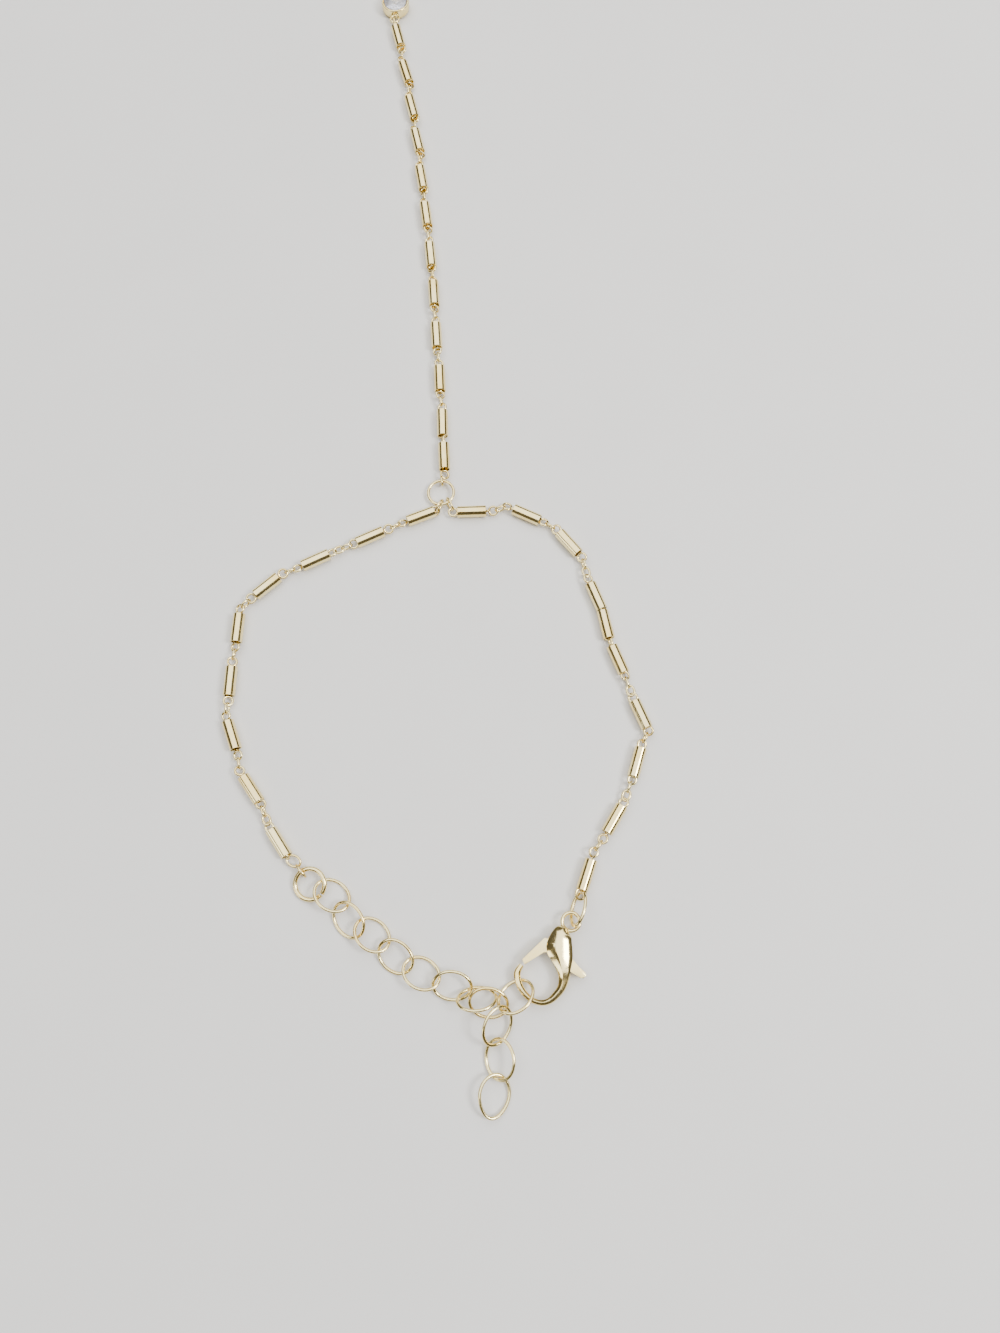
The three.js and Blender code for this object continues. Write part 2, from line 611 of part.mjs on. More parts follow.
const part = new THREE.Group();
part.add(meshOf("hand_strand", geometryOf(handStrand()), GOLD));
part.add(meshOf("wrist_chain_right", geometryOf(wristChainRight()), GOLD));
part.add(meshOf("wrist_chain_left", geometryOf(wristChainLeft()), GOLD));
[...singleRings(), ...fingerPieces()].forEach(([name, solid]) => {
  part.add(meshOf(name, geometryOf(solid), GOLD));
});
part.add(meshOf("clasp_body", claspPlaced(claspBody()), GOLD));
part.add(meshOf("clasp_lever", claspPlaced(claspLever()), GOLD));
part.add(meshOf("crystal_cup", geometryOf(crystalCup()), GOLD));
part.add(meshOf("crystal", geometryOf(crystal()), GLASS));

// The frame's origin is the middle of the bounding box, on the surface.
const box = new THREE.Box3().setFromObject(part);
const middle = box.getCenter(new THREE.Vector3());
part.children.forEach((mesh) => mesh.position.set(-middle.x, -middle.y, -box.min.z));

export default part;
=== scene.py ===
"""A hand chain on a pale floor: chains of short tubes and small links, an extender, a clasp, a crystal and a
finger ring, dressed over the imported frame. Metres, +Z up."""
import json
import math

import bmesh
import bpy
from mathutils import Matrix, Vector

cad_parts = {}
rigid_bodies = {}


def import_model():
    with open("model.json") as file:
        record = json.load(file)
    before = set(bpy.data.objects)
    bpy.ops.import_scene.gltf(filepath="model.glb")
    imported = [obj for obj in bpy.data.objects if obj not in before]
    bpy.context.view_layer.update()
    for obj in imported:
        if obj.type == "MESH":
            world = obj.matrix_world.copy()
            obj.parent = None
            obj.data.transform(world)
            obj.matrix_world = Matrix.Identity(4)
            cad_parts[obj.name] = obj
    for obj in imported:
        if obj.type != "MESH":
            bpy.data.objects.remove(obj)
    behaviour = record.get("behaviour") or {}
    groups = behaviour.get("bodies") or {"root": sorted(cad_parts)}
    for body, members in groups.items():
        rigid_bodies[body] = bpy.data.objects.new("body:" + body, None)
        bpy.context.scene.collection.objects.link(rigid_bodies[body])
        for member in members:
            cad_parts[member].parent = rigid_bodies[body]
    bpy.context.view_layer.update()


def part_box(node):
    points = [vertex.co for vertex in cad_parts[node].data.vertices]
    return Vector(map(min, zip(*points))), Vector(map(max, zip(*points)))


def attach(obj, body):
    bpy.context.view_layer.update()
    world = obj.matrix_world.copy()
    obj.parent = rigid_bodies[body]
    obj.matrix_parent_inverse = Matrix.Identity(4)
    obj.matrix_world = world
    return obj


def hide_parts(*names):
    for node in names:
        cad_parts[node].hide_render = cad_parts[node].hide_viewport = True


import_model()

bl_info = {
    "name": "Hand chain",
    "version": (1, 0, 0),
    "blender": (4, 5, 0),
    "location": "3D View > Sidebar > Hand chain",
    "description": "Models and finishes a hand chain over its packed frame",
    "category": "Object",
}

MAIN_BODY = "chain"
LEVER_BODY = "clasp_lever"

# The source's point 0, 0 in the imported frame: the junction ring's middle is a known step away from it.
low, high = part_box("junction_ring")
JUNCTION_STEP = Vector((0.00016, 0.00028, 0.0))
ORIGIN = (Vector(low) + Vector(high)) / 2 - JUNCTION_STEP
ORIGIN.z = 0.0

# Where the tubes lie: the middle's x and y in metres, the way of the far end in degrees, and the small links
# that follow the tube.
STRAND_TUBES = [
    (-0.0079, 0.0796, -76, 1),
    (-0.0065, 0.0725, -74, 1),
    (-0.0054, 0.0658, -76, 1),
    (-0.0044, 0.0595, -77, 1),
    (-0.0036, 0.0526, -80, 1),
    (-0.0028, 0.0460, -82, 1),
    (-0.0020, 0.0389, -84, 1),
    (-0.0014, 0.0323, -86, 1),
    (-0.0009, 0.0252, -86, 1),
    (-0.0003, 0.0181, -87, 1),
    (0.0002, 0.0110, -88, 1),
    (0.0005, 0.0058, -87, 0),
]
RIGHT_TUBES = [
    (0.0045, -0.0026, 2, 1),
    (0.0122, -0.0031, -25, 1),
    (0.0180, -0.0073, -50, 2),
    (0.0216, -0.0151, -68, 1),
    (0.0228, -0.0191, -78, 1),
    (0.0243, -0.0240, -68, 2),
    (0.0271, -0.0315, -67, 1),
    (0.0264, -0.0379, -107, 2),
    (0.0232, -0.0453, -121, 1),
    (0.0195, -0.0523, -109, 0),
]
LEFT_TUBES = [
    (-0.0026, -0.0033, 202, 1),
    (-0.0096, -0.0064, 205, 2),
    (-0.0170, -0.0098, 206, 1),
    (-0.0235, -0.0136, 221, 1),
    (-0.0271, -0.0196, 267, 1),
    (-0.0276, -0.0270, 268, 1),
    (-0.0269, -0.0343, 290, 1),
    (-0.0239, -0.0414, 305, 2),
    (-0.0199, -0.0483, 304, 0),
]

# Where the single rings lie: middle in metres, way of the long axis, roll about it and pitch in degrees.
RING_PLACES = {
    "junction_ring": (0.00016, 0.00028, 0.00076, 0, 0, 4),
    "end_jump_ring": (-0.01568, -0.0535, 0.00076, -25, 12, 4),
    "extender_link_1": (-0.0128, -0.0549, 0.00092, -36, -22, 2),
    "extender_link_2": (-0.01055, -0.0579, 0.00098, -53, 24, 0),
    "extender_link_3": (-0.00755, -0.0597, 0.00093, -39, -21, -2),
    "extender_link_4": (-0.00455, -0.0623, 0.00082, -41, 18, -4),
    "extender_link_5": (-0.0013, -0.0643, 0.00095, -30, -21, 6),
    "extender_link_6": (0.00255, -0.06575, 0.00103, -5, 25, 2),
    "extender_link_7": (0.0056, -0.06725, 0.00167, 5, -49, -1),
    "extender_link_8": (0.00705, -0.06775, 0.00097, -14, 21, -9),
    "extender_link_9": (0.0104, -0.0670, 0.0013, 42, -32, -11),
    "tail_link_1": (0.00815, -0.07035, 0.00166, -111, -35, -4),
    "tail_link_2": (0.00845, -0.07425, 0.00109, -84, 27, -1),
    "tail_link_3": (0.0078, -0.07825, 0.00084, -98, -19, -1),
    "clasp_link": (0.01829, -0.0565, 0.00135, -104, 58, 8),
}

# The chains' end links: middle in metres, heading, roll and pitch in degrees.
STRAND_END = (0.00024, 0.00208, 0.00076, -82, 91, 10)
LEFT_START = (-0.00005, -0.00177, 0.0008, 60, 85, 3)
RIGHT_START = (0.00142, -0.00152, 0.00085, -64, 80, -2)
LEFT_END = (-0.0179, -0.0506, 0.00077, -25, 12, 0)

# The link that ties the left chain's end to the jump ring: way, height, roll.
LEFT_TIE_WAY = -50
LEFT_TIE_HEIGHT = 0.00087
LEFT_TIE_ROLL = 88

# The eyes at the chains' ends: how far the eye's middle stands out of the tube, and its roll in degrees.
STRAND_START_EYE = (0.00105, 90)
RIGHT_START_EYE = (0.0006, 2)
RIGHT_END_EYE = (0.00051, -30)
LEFT_START_EYE = (0.00012, 38)
STRAND_END_EYE_ROLL = -25
LEFT_END_EYE_ROLL = 80

# How the eyes and the small links between two tubes are rolled. Every second link is a quarter turn on.
EYE_ROLL = 25
LINK_ROLL = 80
LINK_TURN = 90

# The jump ring's open joint lies this way from the ring's middle.
JUMP_CUT_WAY = -40

# How far the finger ring is lifted by its tie ring, the room in the tie ring and the tie ring's roll.
FINGER_RISE = 0.0008
FINGER_PLAY = 0.0002
FINGER_TIE_ROLL = 82

# The clasp's body from its eye round to the tip of its hook: along and side are shares of the clasp's length,
# width is a share of the body's width and thick a share of the clasp's thickness.
BODY_SECTIONS = [
    (0.075, -0.03, 0.27, 0.5),
    (0.12, -0.047, 0.7, 0.8),
    (0.185, -0.048, 0.9, 1.0),
    (0.285, -0.035, 1.08, 1.0),
    (0.37, 0.022, 0.9, 0.95),
    (0.49, 0.084, 0.57, 0.8),
    (0.57, 0.107, 0.42, 0.65),
    (0.66, 0.109, 0.34, 0.55),
    (0.745, 0.078, 0.3, 0.48),
    (0.82, 0.03, 0.25, 0.42),
    (0.865, -0.05, 0.22, 0.38),
    (0.86, -0.165, 0.22, 0.38),
    (0.8, -0.275, 0.25, 0.4),
    (0.725, -0.34, 0.27, 0.42),
    (0.655, -0.368, 0.27, 0.45),
    (0.575, -0.35, 0.2, 0.45),
]

# The body's section: shares of its width and of its thickness. The ridge lies nearer to the hook's inside.
BODY_OUTLINE = [
    (0.5, 0.26), (0.28, 0.42), (-0.15, 0.5), (-0.5, 0.26),
    (-0.5, -0.26), (-0.15, -0.5), (0.28, -0.42), (0.5, -0.26),
]

# The pin's place, in shares of the clasp's length.
PIVOT = (0.275, -0.078)

# Outlines round the pivot, in shares of the clasp's length: the lever's gate, its tab and the body's slot for
# the tab.
GATE_OUTLINE = [
    (-0.045, -0.045), (-0.03, -0.135), (0.245, -0.283), (0.285, -0.245), (0.11, -0.1), (0.05, 0.03),
]
TAB_OUTLINE = [
    (-0.05, -0.02), (-0.06, 0.1), (0.07, 0.2), (0.125, 0.29), (0.16, 0.37),
    (0.185, 0.388), (0.218, 0.372), (0.225, 0.34), (0.2, 0.23), (0.1, 0.06),
]
TAB_SLOT = [(-0.1, 0.0), (0.06, -0.02), (0.225, 0.205), (0.23, 0.45), (-0.1, 0.45)]

# The clasp's place: the middle of its eye in metres, then heading, roll and pitch in degrees.
CLASP_PLACE = (0.01735, -0.0581, 0.0011, -109, 0, 0)

# Round the pivot the lever is thin and the body is open, out to this share of the clasp's length.
KEEP_OFF = 0.15

# The pin ends inside the body's skin: a share of the thickness.
PIN_SHARE = 0.9

# Widths of the rounded edges.
BODY_EDGE = 0.00008
LEVER_EDGE = 0.00009
JUMP_CUT_EDGE = 0.00005
STONE_EDGE = 0.000015

# The crystal's cup: its middle, and the ways from there to the strand and to the finger.
CUP_PLACE = (-0.0085, 0.0860)
CUP_TO_STRAND = -92
CUP_TO_FINGER = 106.8

# How many features of each pattern lie along a metre.
CLOUDS_PER_METRE = 320.0
RUBS_PER_METRE = 2600.0
CRYSTAL_CLOUDS_PER_METRE = 450.0
FLOOR_GRAINS_PER_METRE = 60.0

# The stage: the floor's reach and how far it lies under the object, the room's tone, and the lamps with their
# places, sides and powers.
FLOOR_REACH = 0.6
FLOOR_DROP = 0.00002
ROOM_COLOUR = (0.46, 0.41, 0.30, 1.0)
ROOM_STRENGTH = 0.25
LAMPS = [
    ("overhead softbox", (0.0, 0.18, 0.60), 1.1, 11.0),
    ("key softbox", (0.34, -0.10, 0.40), 0.16, 2.2),
    ("low softbox", (-0.45, -0.30, 0.22), 0.20, 0.5),
]

# The camera: from the source's point 0, 0, its tilt in degrees, its lens and its sensor in millimetres.
CAMERA_PLACE = Vector((0.00846, -0.0569, 0.126))
CAMERA_TILT = 14.3
CAMERA_LENS = 26.0
CAMERA_SENSOR = 36.0


def length_property(name, description, default):
    return bpy.props.FloatProperty(
        name=name, description=description, default=default, min=0.00001, precision=5,
        subtype="DISTANCE", unit="LENGTH",
    )


def colour_property(name, description, default):
    return bpy.props.FloatVectorProperty(
        name=name, description=description, default=default, size=3, min=0.0, max=1.0, subtype="COLOR"
    )


class HandChainTubes(bpy.types.PropertyGroup):
    length: length_property("Length", "Length of each tube", 0.004)
    diameter: length_property("Diameter", "Outer diameter of each tube", 0.0016)
    wall: length_property("Wall", "Thickness of a tube's wall", 0.00014)
    bore: length_property("Bore", "Depth of the open bore at each end", 0.0009)


class HandChainLinks(bpy.types.PropertyGroup):
    eye: length_property("Eye", "Outer diameter of the round eye at a tube's end", 0.0015)
    clasp_side_eye: length_property("Clasp side eye", "Outer diameter of the eye next to the clasp", 0.0018)
    link_length: length_property("Link length", "Outer length of a small link", 0.00175)
    link_width: length_property("Link width", "Outer width of a small link", 0.0013)
    end_length: length_property("End link length", "Outer length of a chain's end link", 0.0022)
    end_width: length_property("End link width", "Outer width of a chain's end link", 0.0017)
    tie_width: length_property("Tie link width", "Outer width of a narrower end link", 0.0016)
    wire: length_property("Wire", "Diameter of the small links' wire", 0.00032)
    fuse: length_property("Fuse", "How far two wires of one chain run into each other", 0.00005)


class HandChainRings(bpy.types.PropertyGroup):
    junction: length_property("Junction ring", "Outer diameter of the junction ring", 0.004)
    junction_wire: length_property("Junction wire", "Wire of the junction ring", 0.0004)
    jump: length_property("Jump ring", "Outer diameter of the open jump ring", 0.0045)
    jump_wire: length_property("Jump ring wire", "Wire of the open jump ring", 0.0006)
    jump_cut: length_property("Jump ring cut", "Width of the jump ring's open joint", 0.0002)
    extender_length: length_property("Extender length", "Outer length of an extender link", 0.0052)
    last_length: length_property("Last link length", "Outer length of the tail's last link", 0.005)
    last_point: length_property("Last link point", "How far the last link's end is drawn out", 0.0004)
    extender_width: length_property("Extender width", "Outer width of an extender link", 0.0042)
    extender_wire: length_property("Extender wire", "Wire of the extender", 0.00042)
    clasp_link_length: length_property("Clasp link length", "Outer length of the clasp's link", 0.0047)
    clasp_link_width: length_property("Clasp link width", "Outer width of the clasp's link", 0.003)
    clasp_link_wire: length_property("Clasp link wire", "Wire of the clasp's link", 0.00045)
    finger_bore: length_property("Finger bore", "Inner diameter of the finger ring", 0.017)
    finger_wire: length_property("Finger wire", "Wire of the finger ring", 0.001)
    finger_tie_length: length_property("Tie ring length", "Outer length of the finger ring's tie", 0.0034)
    finger_tie_width: length_property("Tie ring width", "Outer width of the finger ring's tie", 0.0026)
    finger_tie_wire: length_property("Tie ring wire", "Wire of the finger ring's tie", 0.0004)


class HandChainCrystal(bpy.types.PropertyGroup):
    diameter: length_property("Cup diameter", "Outer diameter of the cup", 0.0044)
    height: length_property("Cup height", "Height of the cup's wall", 0.0017)
    wall: length_property("Cup wall", "Thickness of the cup's wall", 0.0003)
    floor: length_property("Cup floor", "Thickness of the cup's floor", 0.0004)
    foot: length_property("Foot", "Rounding of the cup's foot", 0.0006)
    eye: length_property("Cup eye", "Outer diameter of the cup's eyes", 0.0017)
    eye_wire: length_property("Cup eye wire", "Wire of the cup's eyes", 0.00035)
    eye_out: length_property("Eye reach", "How far an eye's middle stands from the wall", 0.0006)
    finger_eye_height: length_property("Finger eye height", "Height of the eye on the finger's side", 0.0012)
    strand_eye_height: length_property("Strand eye height", "Height of the eye on the strand's side", 0.0008)
    gap: length_property("Gap", "Room between the crystal and the cup", 0.00006)
    girdle: length_property("Girdle", "Height of the crystal's girdle", 0.00015)
    rise: length_property("Rise", "How far the table stands over the rim", 0.00035)


class HandChainClasp(bpy.types.PropertyGroup):
    length: length_property("Length", "Length of the clasp", 0.012)
    width: length_property("Body width", "Widest part of the clasp's body", 0.003)
    thickness: length_property("Thickness", "Thickest part of the clasp's body", 0.0022)
    eye: length_property("Eye", "Outer diameter of the clasp's eye", 0.0027)
    eye_wire: length_property("Eye wire", "Wire of the clasp's eye", 0.00047)
    lever_plate: length_property("Lever plate", "Thickness of the lever in the slot", 0.0008)
    lever_gate: length_property("Lever gate", "Thickness of the lever's gate", 0.0013)
    lever_hub: length_property("Lever hub", "Radius of the lever's hub", 0.00095)
    clearance: length_property("Clearance", "Room between the lever and the body", 0.00012)
    pin: length_property("Pin", "Diameter of the pin", 0.0006)


class HandChainFinish(bpy.types.PropertyGroup):
    gold: colour_property("Gold", "Colour of the metal", (0.95, 0.81, 0.42))
    deep_gold: colour_property("Deep gold", "Colour where the plate is thick", (0.87, 0.65, 0.24))
    crystal: colour_property("Crystal", "Colour of the crystal", (0.93, 0.93, 0.97))
    lilac: colour_property("Lilac", "Colour of the crystal's faint clouds", (0.80, 0.80, 0.90))
    floor: colour_property("Floor", "Colour of the floor", (0.78, 0.77, 0.75))


GROUPS = {
    "tubes": HandChainTubes,
    "links": HandChainLinks,
    "rings": HandChainRings,
    "crystal": HandChainCrystal,
    "clasp": HandChainClasp,
    "finish": HandChainFinish,
}


def sizes(name):
    return getattr(bpy.context.scene, "hand_chain_" + name)


class Socket:
    """A value in a material's node tree, written like a number."""

    def __init__(self, tree, output):
        self.tree = tree
        self.output = output

    def math(self, operation, first, second):
        node = self.tree.nodes.new("ShaderNodeMath")
        node.operation = operation
        for slot, value in zip(node.inputs, (first, second)):
            if isinstance(value, Socket):
                self.tree.links.new(value.output, slot)
            else:
                slot.default_value = value
        return Socket(self.tree, node.outputs[0])

    def __add__(self, other):
        return self.math("ADD", self, other)

    def __radd__(self, other):
        return self.math("ADD", other, self)

    def __mul__(self, other):
        return self.math("MULTIPLY", self, other)


class Finish:
    """A material that is put together node by node."""

    def __init__(self, name):
        self.material = bpy.data.materials.new(name)
        self.material.use_nodes = True
        self.tree = self.material.node_tree
        self.shader = self.tree.nodes["Principled BSDF"]

    def node(self, kind, settings=None, output=0, **inputs):
        made = self.tree.nodes.new(kind)
        for key, value in (settings or {}).items():
            setattr(made, key, value)
        for key, value in inputs.items():
            slot = made.inputs[int(key[1:])] if key[1:].isdigit() else made.inputs[key.replace("_", " ")]
            if isinstance(value, Socket):
                self.tree.links.new(value.output, slot)
            else:
                slot.default_value = value
        return Socket(self.tree, made.outputs[output])

    def place(self, per_metre):
        """Object coordinates, counted in a pattern's features."""
        where = self.node("ShaderNodeTexCoord", output=3)
        return self.node("ShaderNodeMapping", Vector=where, Scale=(per_metre, per_metre, per_metre))

    def mix(self, share, first, second):
        return self.node("ShaderNodeMix", {"data_type": "RGBA"}, 2, i0=share, i6=first, i7=second)

    def feed(self, **inputs):
        for key, value in inputs.items():
            slot = self.shader.inputs[key.replace("_", " ")]
            if isinstance(value, Socket):
                self.tree.links.new(value.output, slot)
            else:
                slot.default_value = value


def gold_finish():
    """Mirror-polished gold-coloured plate with faint waves, clouding and fine rub marks."""
    made = bpy.data.materials.get("polished gold plate")
    if made:
        return made
    finish = Finish("polished gold plate")
    look = sizes("finish")
    wide = finish.place(CLOUDS_PER_METRE)
    fine = finish.place(RUBS_PER_METRE)
    clouds = finish.node("ShaderNodeTexNoise", Vector=wide, Scale=1.0, Detail=4.0, Roughness=0.55)
    rubs = finish.node("ShaderNodeTexNoise", Vector=fine, Scale=1.0, Detail=6.0, Roughness=0.7)
    tone = finish.node(
        "ShaderNodeMapRange", {"clamp": True}, i0=clouds, i1=0.38, i2=0.68, i3=0.0, i4=0.75
    )
    colour = finish.mix(tone, (*look.gold, 1.0), (*look.deep_gold, 1.0))
    wear = finish.node("ShaderNodeMapRange", {"clamp": True}, i0=rubs, i1=0.45, i2=0.75, i3=0.0, i4=1.0)
    finish.feed(Base_Color=colour, Metallic=1.0, Roughness=0.1 + wear * 0.12 + clouds * 0.06)
    bump = finish.node("ShaderNodeBump", Height=clouds * 0.8 + rubs * 0.12, Distance=0.00002, Strength=0.35)
    finish.feed(Normal=bump)
    return finish.material


def crystal_finish():
    """Clear cut crystal with a faint cloud of lilac."""
    finish = Finish("clear cut crystal")
    look = sizes("finish")
    where = finish.place(CRYSTAL_CLOUDS_PER_METRE)
    clouds = finish.node("ShaderNodeTexNoise", Vector=where, Scale=1.0, Detail=2.0, Roughness=0.5)
    tint = finish.mix(clouds, (*look.crystal, 1.0), (*look.lilac, 1.0))
    finish.feed(Base_Color=tint, Roughness=0.01 + clouds * 0.03)
    finish.feed(Transmission_Weight=0.75, IOR=1.6, Specular_IOR_Level=0.8)
    return finish.material


def floor_finish():
    finish = Finish("pale floor")
    look = sizes("finish")
    where = finish.place(FLOOR_GRAINS_PER_METRE)
    grain = finish.node("ShaderNodeTexNoise", Vector=where, Scale=1.0, Detail=3.0, Roughness=0.5)
    darker = tuple(0.95 * value for value in look.floor)
    finish.feed(Base_Color=finish.mix(grain, (*look.floor, 1.0), (*darker, 1.0)), Roughness=0.75)
    return finish.material


def turned(x, y, z, heading=0.0, roll=0.0, pitch=0.0):
    """The place of a shape whose long axis runs along the heading."""
    turn = Matrix.Rotation(math.radians(heading), 4, "Z")
    turn = turn @ Matrix.Rotation(-math.radians(pitch), 4, "Y") @ Matrix.Rotation(math.radians(roll), 4, "X")
    return Matrix.Translation(ORIGIN + Vector((x, y, z))) @ turn


def closed_up(shape):
    """Doubles merged, then the faces turned outwards."""
    bmesh.ops.remove_doubles(shape, verts=shape.verts, dist=1e-7)
    bmesh.ops.recalc_face_normals(shape, faces=shape.faces)
    return shape


def spun(outline, steps, axis=(1, 0, 0)):
    """A solid of revolution about an axis through 0, from a line of points."""
    shape = bmesh.new()
    verts = [shape.verts.new(point) for point in outline]
    edges = [shape.edges.new(pair) for pair in zip(verts, verts[1:])]
    bmesh.ops.spin(
        shape, geom=verts + edges, cent=(0, 0, 0), axis=axis, angle=2 * math.pi, steps=steps, use_merge=True
    )
    return closed_up(shape)


def oval(length, width, wire, place, point=0.0, steps=40, sides=12):
    """A closed oval ring of round wire. A point draws its front end out."""
    shape = bmesh.new()
    middle = (length - wire) / 2
    side = (width - wire) / 2
    upright = Matrix.Translation((middle, 0, 0)) @ Matrix.Rotation(math.pi / 2, 4, "X")
    section = bmesh.ops.create_circle(shape, segments=sides, radius=wire / 2, matrix=upright)["verts"]
    edges = {edge for vert in section for edge in vert.link_edges}
    bmesh.ops.spin(
        shape, geom=section + list(edges), cent=(0, 0, 0), axis=(0, 0, 1), angle=2 * math.pi, steps=steps,
        use_merge=True,
    )
    for vert in shape.verts:
        around = math.atan2(vert.co.y, vert.co.x)
        out = math.hypot(vert.co.x, vert.co.y) - middle
        front = max(0.0, math.cos(around))
        slope = middle * math.sin(around) + 3 * point * front**2 * math.sin(around)
        away = Vector((side * math.cos(around), slope)).normalized()
        vert.co.x = middle * math.cos(around) + point * front**3 + away.x * out
        vert.co.y = side * math.sin(around) + away.y * out
    closed_up(shape)
    shape.transform(place)
    return shape


def mesh_object(name, shape):
    mesh = bpy.data.meshes.new(name)
    shape.to_mesh(mesh)
    shape.free()
    made = bpy.data.objects.new(name, mesh)
    bpy.context.scene.collection.objects.link(made)
    return made


def boolean(whole, shapes, operation):
    """Many closed shapes joined to, or cut from, one object."""
    others = bpy.data.collections.new("operands")
    bpy.context.scene.collection.children.link(others)
    for number, shape in enumerate(shapes):
        operand = mesh_object("operand_%d" % number, shape)
        bpy.context.scene.collection.objects.unlink(operand)
        others.objects.link(operand)
    modifier = whole.modifiers.new("Join", "BOOLEAN")
    modifier.operation = operation
    modifier.operand_type = "COLLECTION"
    modifier.collection = others
    modifier.solver = "MANIFOLD"
    applied(whole)
    for operand in list(others.objects):
        bpy.data.meshes.remove(operand.data)
    bpy.data.collections.remove(others)
    if not whole.data.polygons:
        raise RuntimeError(whole.name + " came out empty")
    return whole


def applied(made):
    """The object's modifiers, made part of its mesh."""
    evaluated = made.evaluated_get(bpy.context.evaluated_depsgraph_get())
    mesh = bpy.data.meshes.new_from_object(evaluated)
    made.modifiers.clear()
    made.data = mesh
    return made


def rounded(made, width, segments=2, angle=32):
    """The edges rounded with a bevel that is made part of the mesh."""
    modifier = made.modifiers.new("Round", "BEVEL")
    modifier.width = width
    modifier.segments = segments
    modifier.limit_method = "ANGLE"
    modifier.angle_limit = math.radians(angle)
    modifier.harden_normals = False
    return applied(made)


def fused(name, shapes):
    whole = mesh_object(name, shapes[0])
    return boolean(whole, shapes[1:], "UNION")


def finished(made, material, body, nodes, sharp=38):
    """Shading, material, body and the nodes that the piece stands for."""
    made.data.materials.clear()
    made.data.materials.append(material)
    made.data.shade_smooth()
    made.data.set_sharp_from_angle(angle=math.radians(sharp))
    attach(made, body)
    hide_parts(*nodes)
    return made


def step(point, heading, length):
    turn = math.radians(heading)
    return (point[0] + length * math.cos(turn), point[1] + length * math.sin(turn))


def hole_reach(length):
    """How far a small ring's hole reaches from its middle."""
    return length / 2 - sizes("links").wire


def span(one, other):
    """How far apart the middles of two linked rings lie when their wires just run into each other."""
    return hole_reach(one) + hole_reach(other) + sizes("links").fuse


def small_ring(length, width, x, y, z, heading, roll=0.0, pitch=0.0):
    wire = sizes("links").wire
    return oval(length, width, wire, turned(x, y, z, heading, roll, pitch), steps=26, sides=10)


def tube(row):
    """One tube with an open bore and a thin rounded rim at each end."""
    size = sizes("tubes")
    half = size.length / 2
    outer = size.diameter / 2
    inner = outer - size.wall
    soft = size.wall / 4
    end = [
        (half - size.bore, 0.0),
        (half - size.bore, inner * 0.8),
        (half - size.bore * 0.9, inner),
        (half - soft, inner),
        (half, inner + soft),
        (half, outer - soft),
        (half - soft, outer),
        (half - 4 * soft, outer),
    ]
    outline = [Vector((-along, out, 0)) for along, out in end]
    outline += [Vector((along, out, 0)) for along, out in reversed(end)]
    shape = spun(outline, 28)
    shape.transform(turned(row[0], row[1], outer, row[2]))
    return shape


def tube_eye(end, heading, reach, roll, eye=None):
    """The round eye at a tube's end, on a stem that starts in the bore."""
    size = sizes("tubes")
    links = sizes("links")
    eye = eye or links.eye
    z = size.diameter / 2
    middle = step(end, heading, reach)
    shapes = [small_ring(eye, eye, middle[0], middle[1], z, heading, roll)]
    start = -size.bore - links.fuse
    stop = reach - (eye - links.wire) / 2
    if stop > start + links.wire:
        radius = links.wire / 2
        outline = [Vector(p) for p in ((start, 0, 0), (start, radius, 0), (stop, radius, 0), (stop, 0, 0))]
        stem = spun(outline, 10)
        stem.transform(turned(end[0], end[1], z, heading))
        shapes.append(stem)
    return shapes


def between(one, other, side):
    """The small links between the facing ends of two tubes, with the eye on each side."""
    size = sizes("links")
    half = sizes("tubes").length / 2
    z = sizes("tubes").diameter / 2
    links = one[3]
    start = step(one, one[2], half)
    end = step(other, other[2], -half)
    taut = 2 * span(size.eye, size.link_length) + (links - 1) * span(size.link_length, size.link_length)
    gap = Vector(end) - Vector(start)
    ways = Vector(step(step((0, 0), one[2], 1), other[2], 1))
    drop = gap.dot(ways)
    root = math.sqrt(max(0.0, drop**2 - ways.length_squared * (gap.length_squared - taut**2)))
    reach = (drop - root) / ways.length_squared
    first = step(start, one[2], reach)
    last = step(end, other[2], -reach)
    heading = math.degrees(math.atan2(last[1] - first[1], last[0] - first[0]))
    shapes = tube_eye(start, one[2], reach, side * EYE_ROLL)
    shapes += tube_eye(end, other[2] + 180, reach, side * EYE_ROLL)
    for number in range(links):
        out = span(size.eye, size.link_length) + number * span(size.link_length, size.link_length)
        x, y = step(first, heading, out)
        roll = side * (LINK_ROLL - LINK_TURN * (number % 2))
        shapes.append(small_ring(size.link_length, size.link_width, x, y, z, heading, roll))
    return shapes


def tube_chain(rows):
    shapes = [tube(row) for row in rows]
    for number, (one, other) in enumerate(zip(rows, rows[1:])):
        shapes += between(one, other, -1 if number % 2 else 1)
    return shapes


def start_of(rows):
    return step(rows[0], rows[0][2], -sizes("tubes").length / 2)


def end_of(rows):
    return step(rows[-1], rows[-1][2], sizes("tubes").length / 2)


def reach_to(end, heading, place, distance):
    """The eye's reach that puts it a given distance from a ring."""
    towards = Vector(step((0, 0), heading, 1))
    way = Vector(place[:2]) - Vector(end)
    along = way.dot(towards)
    aside = way.length_squared - along**2
    return along - math.sqrt(max(0.0, distance**2 - aside))


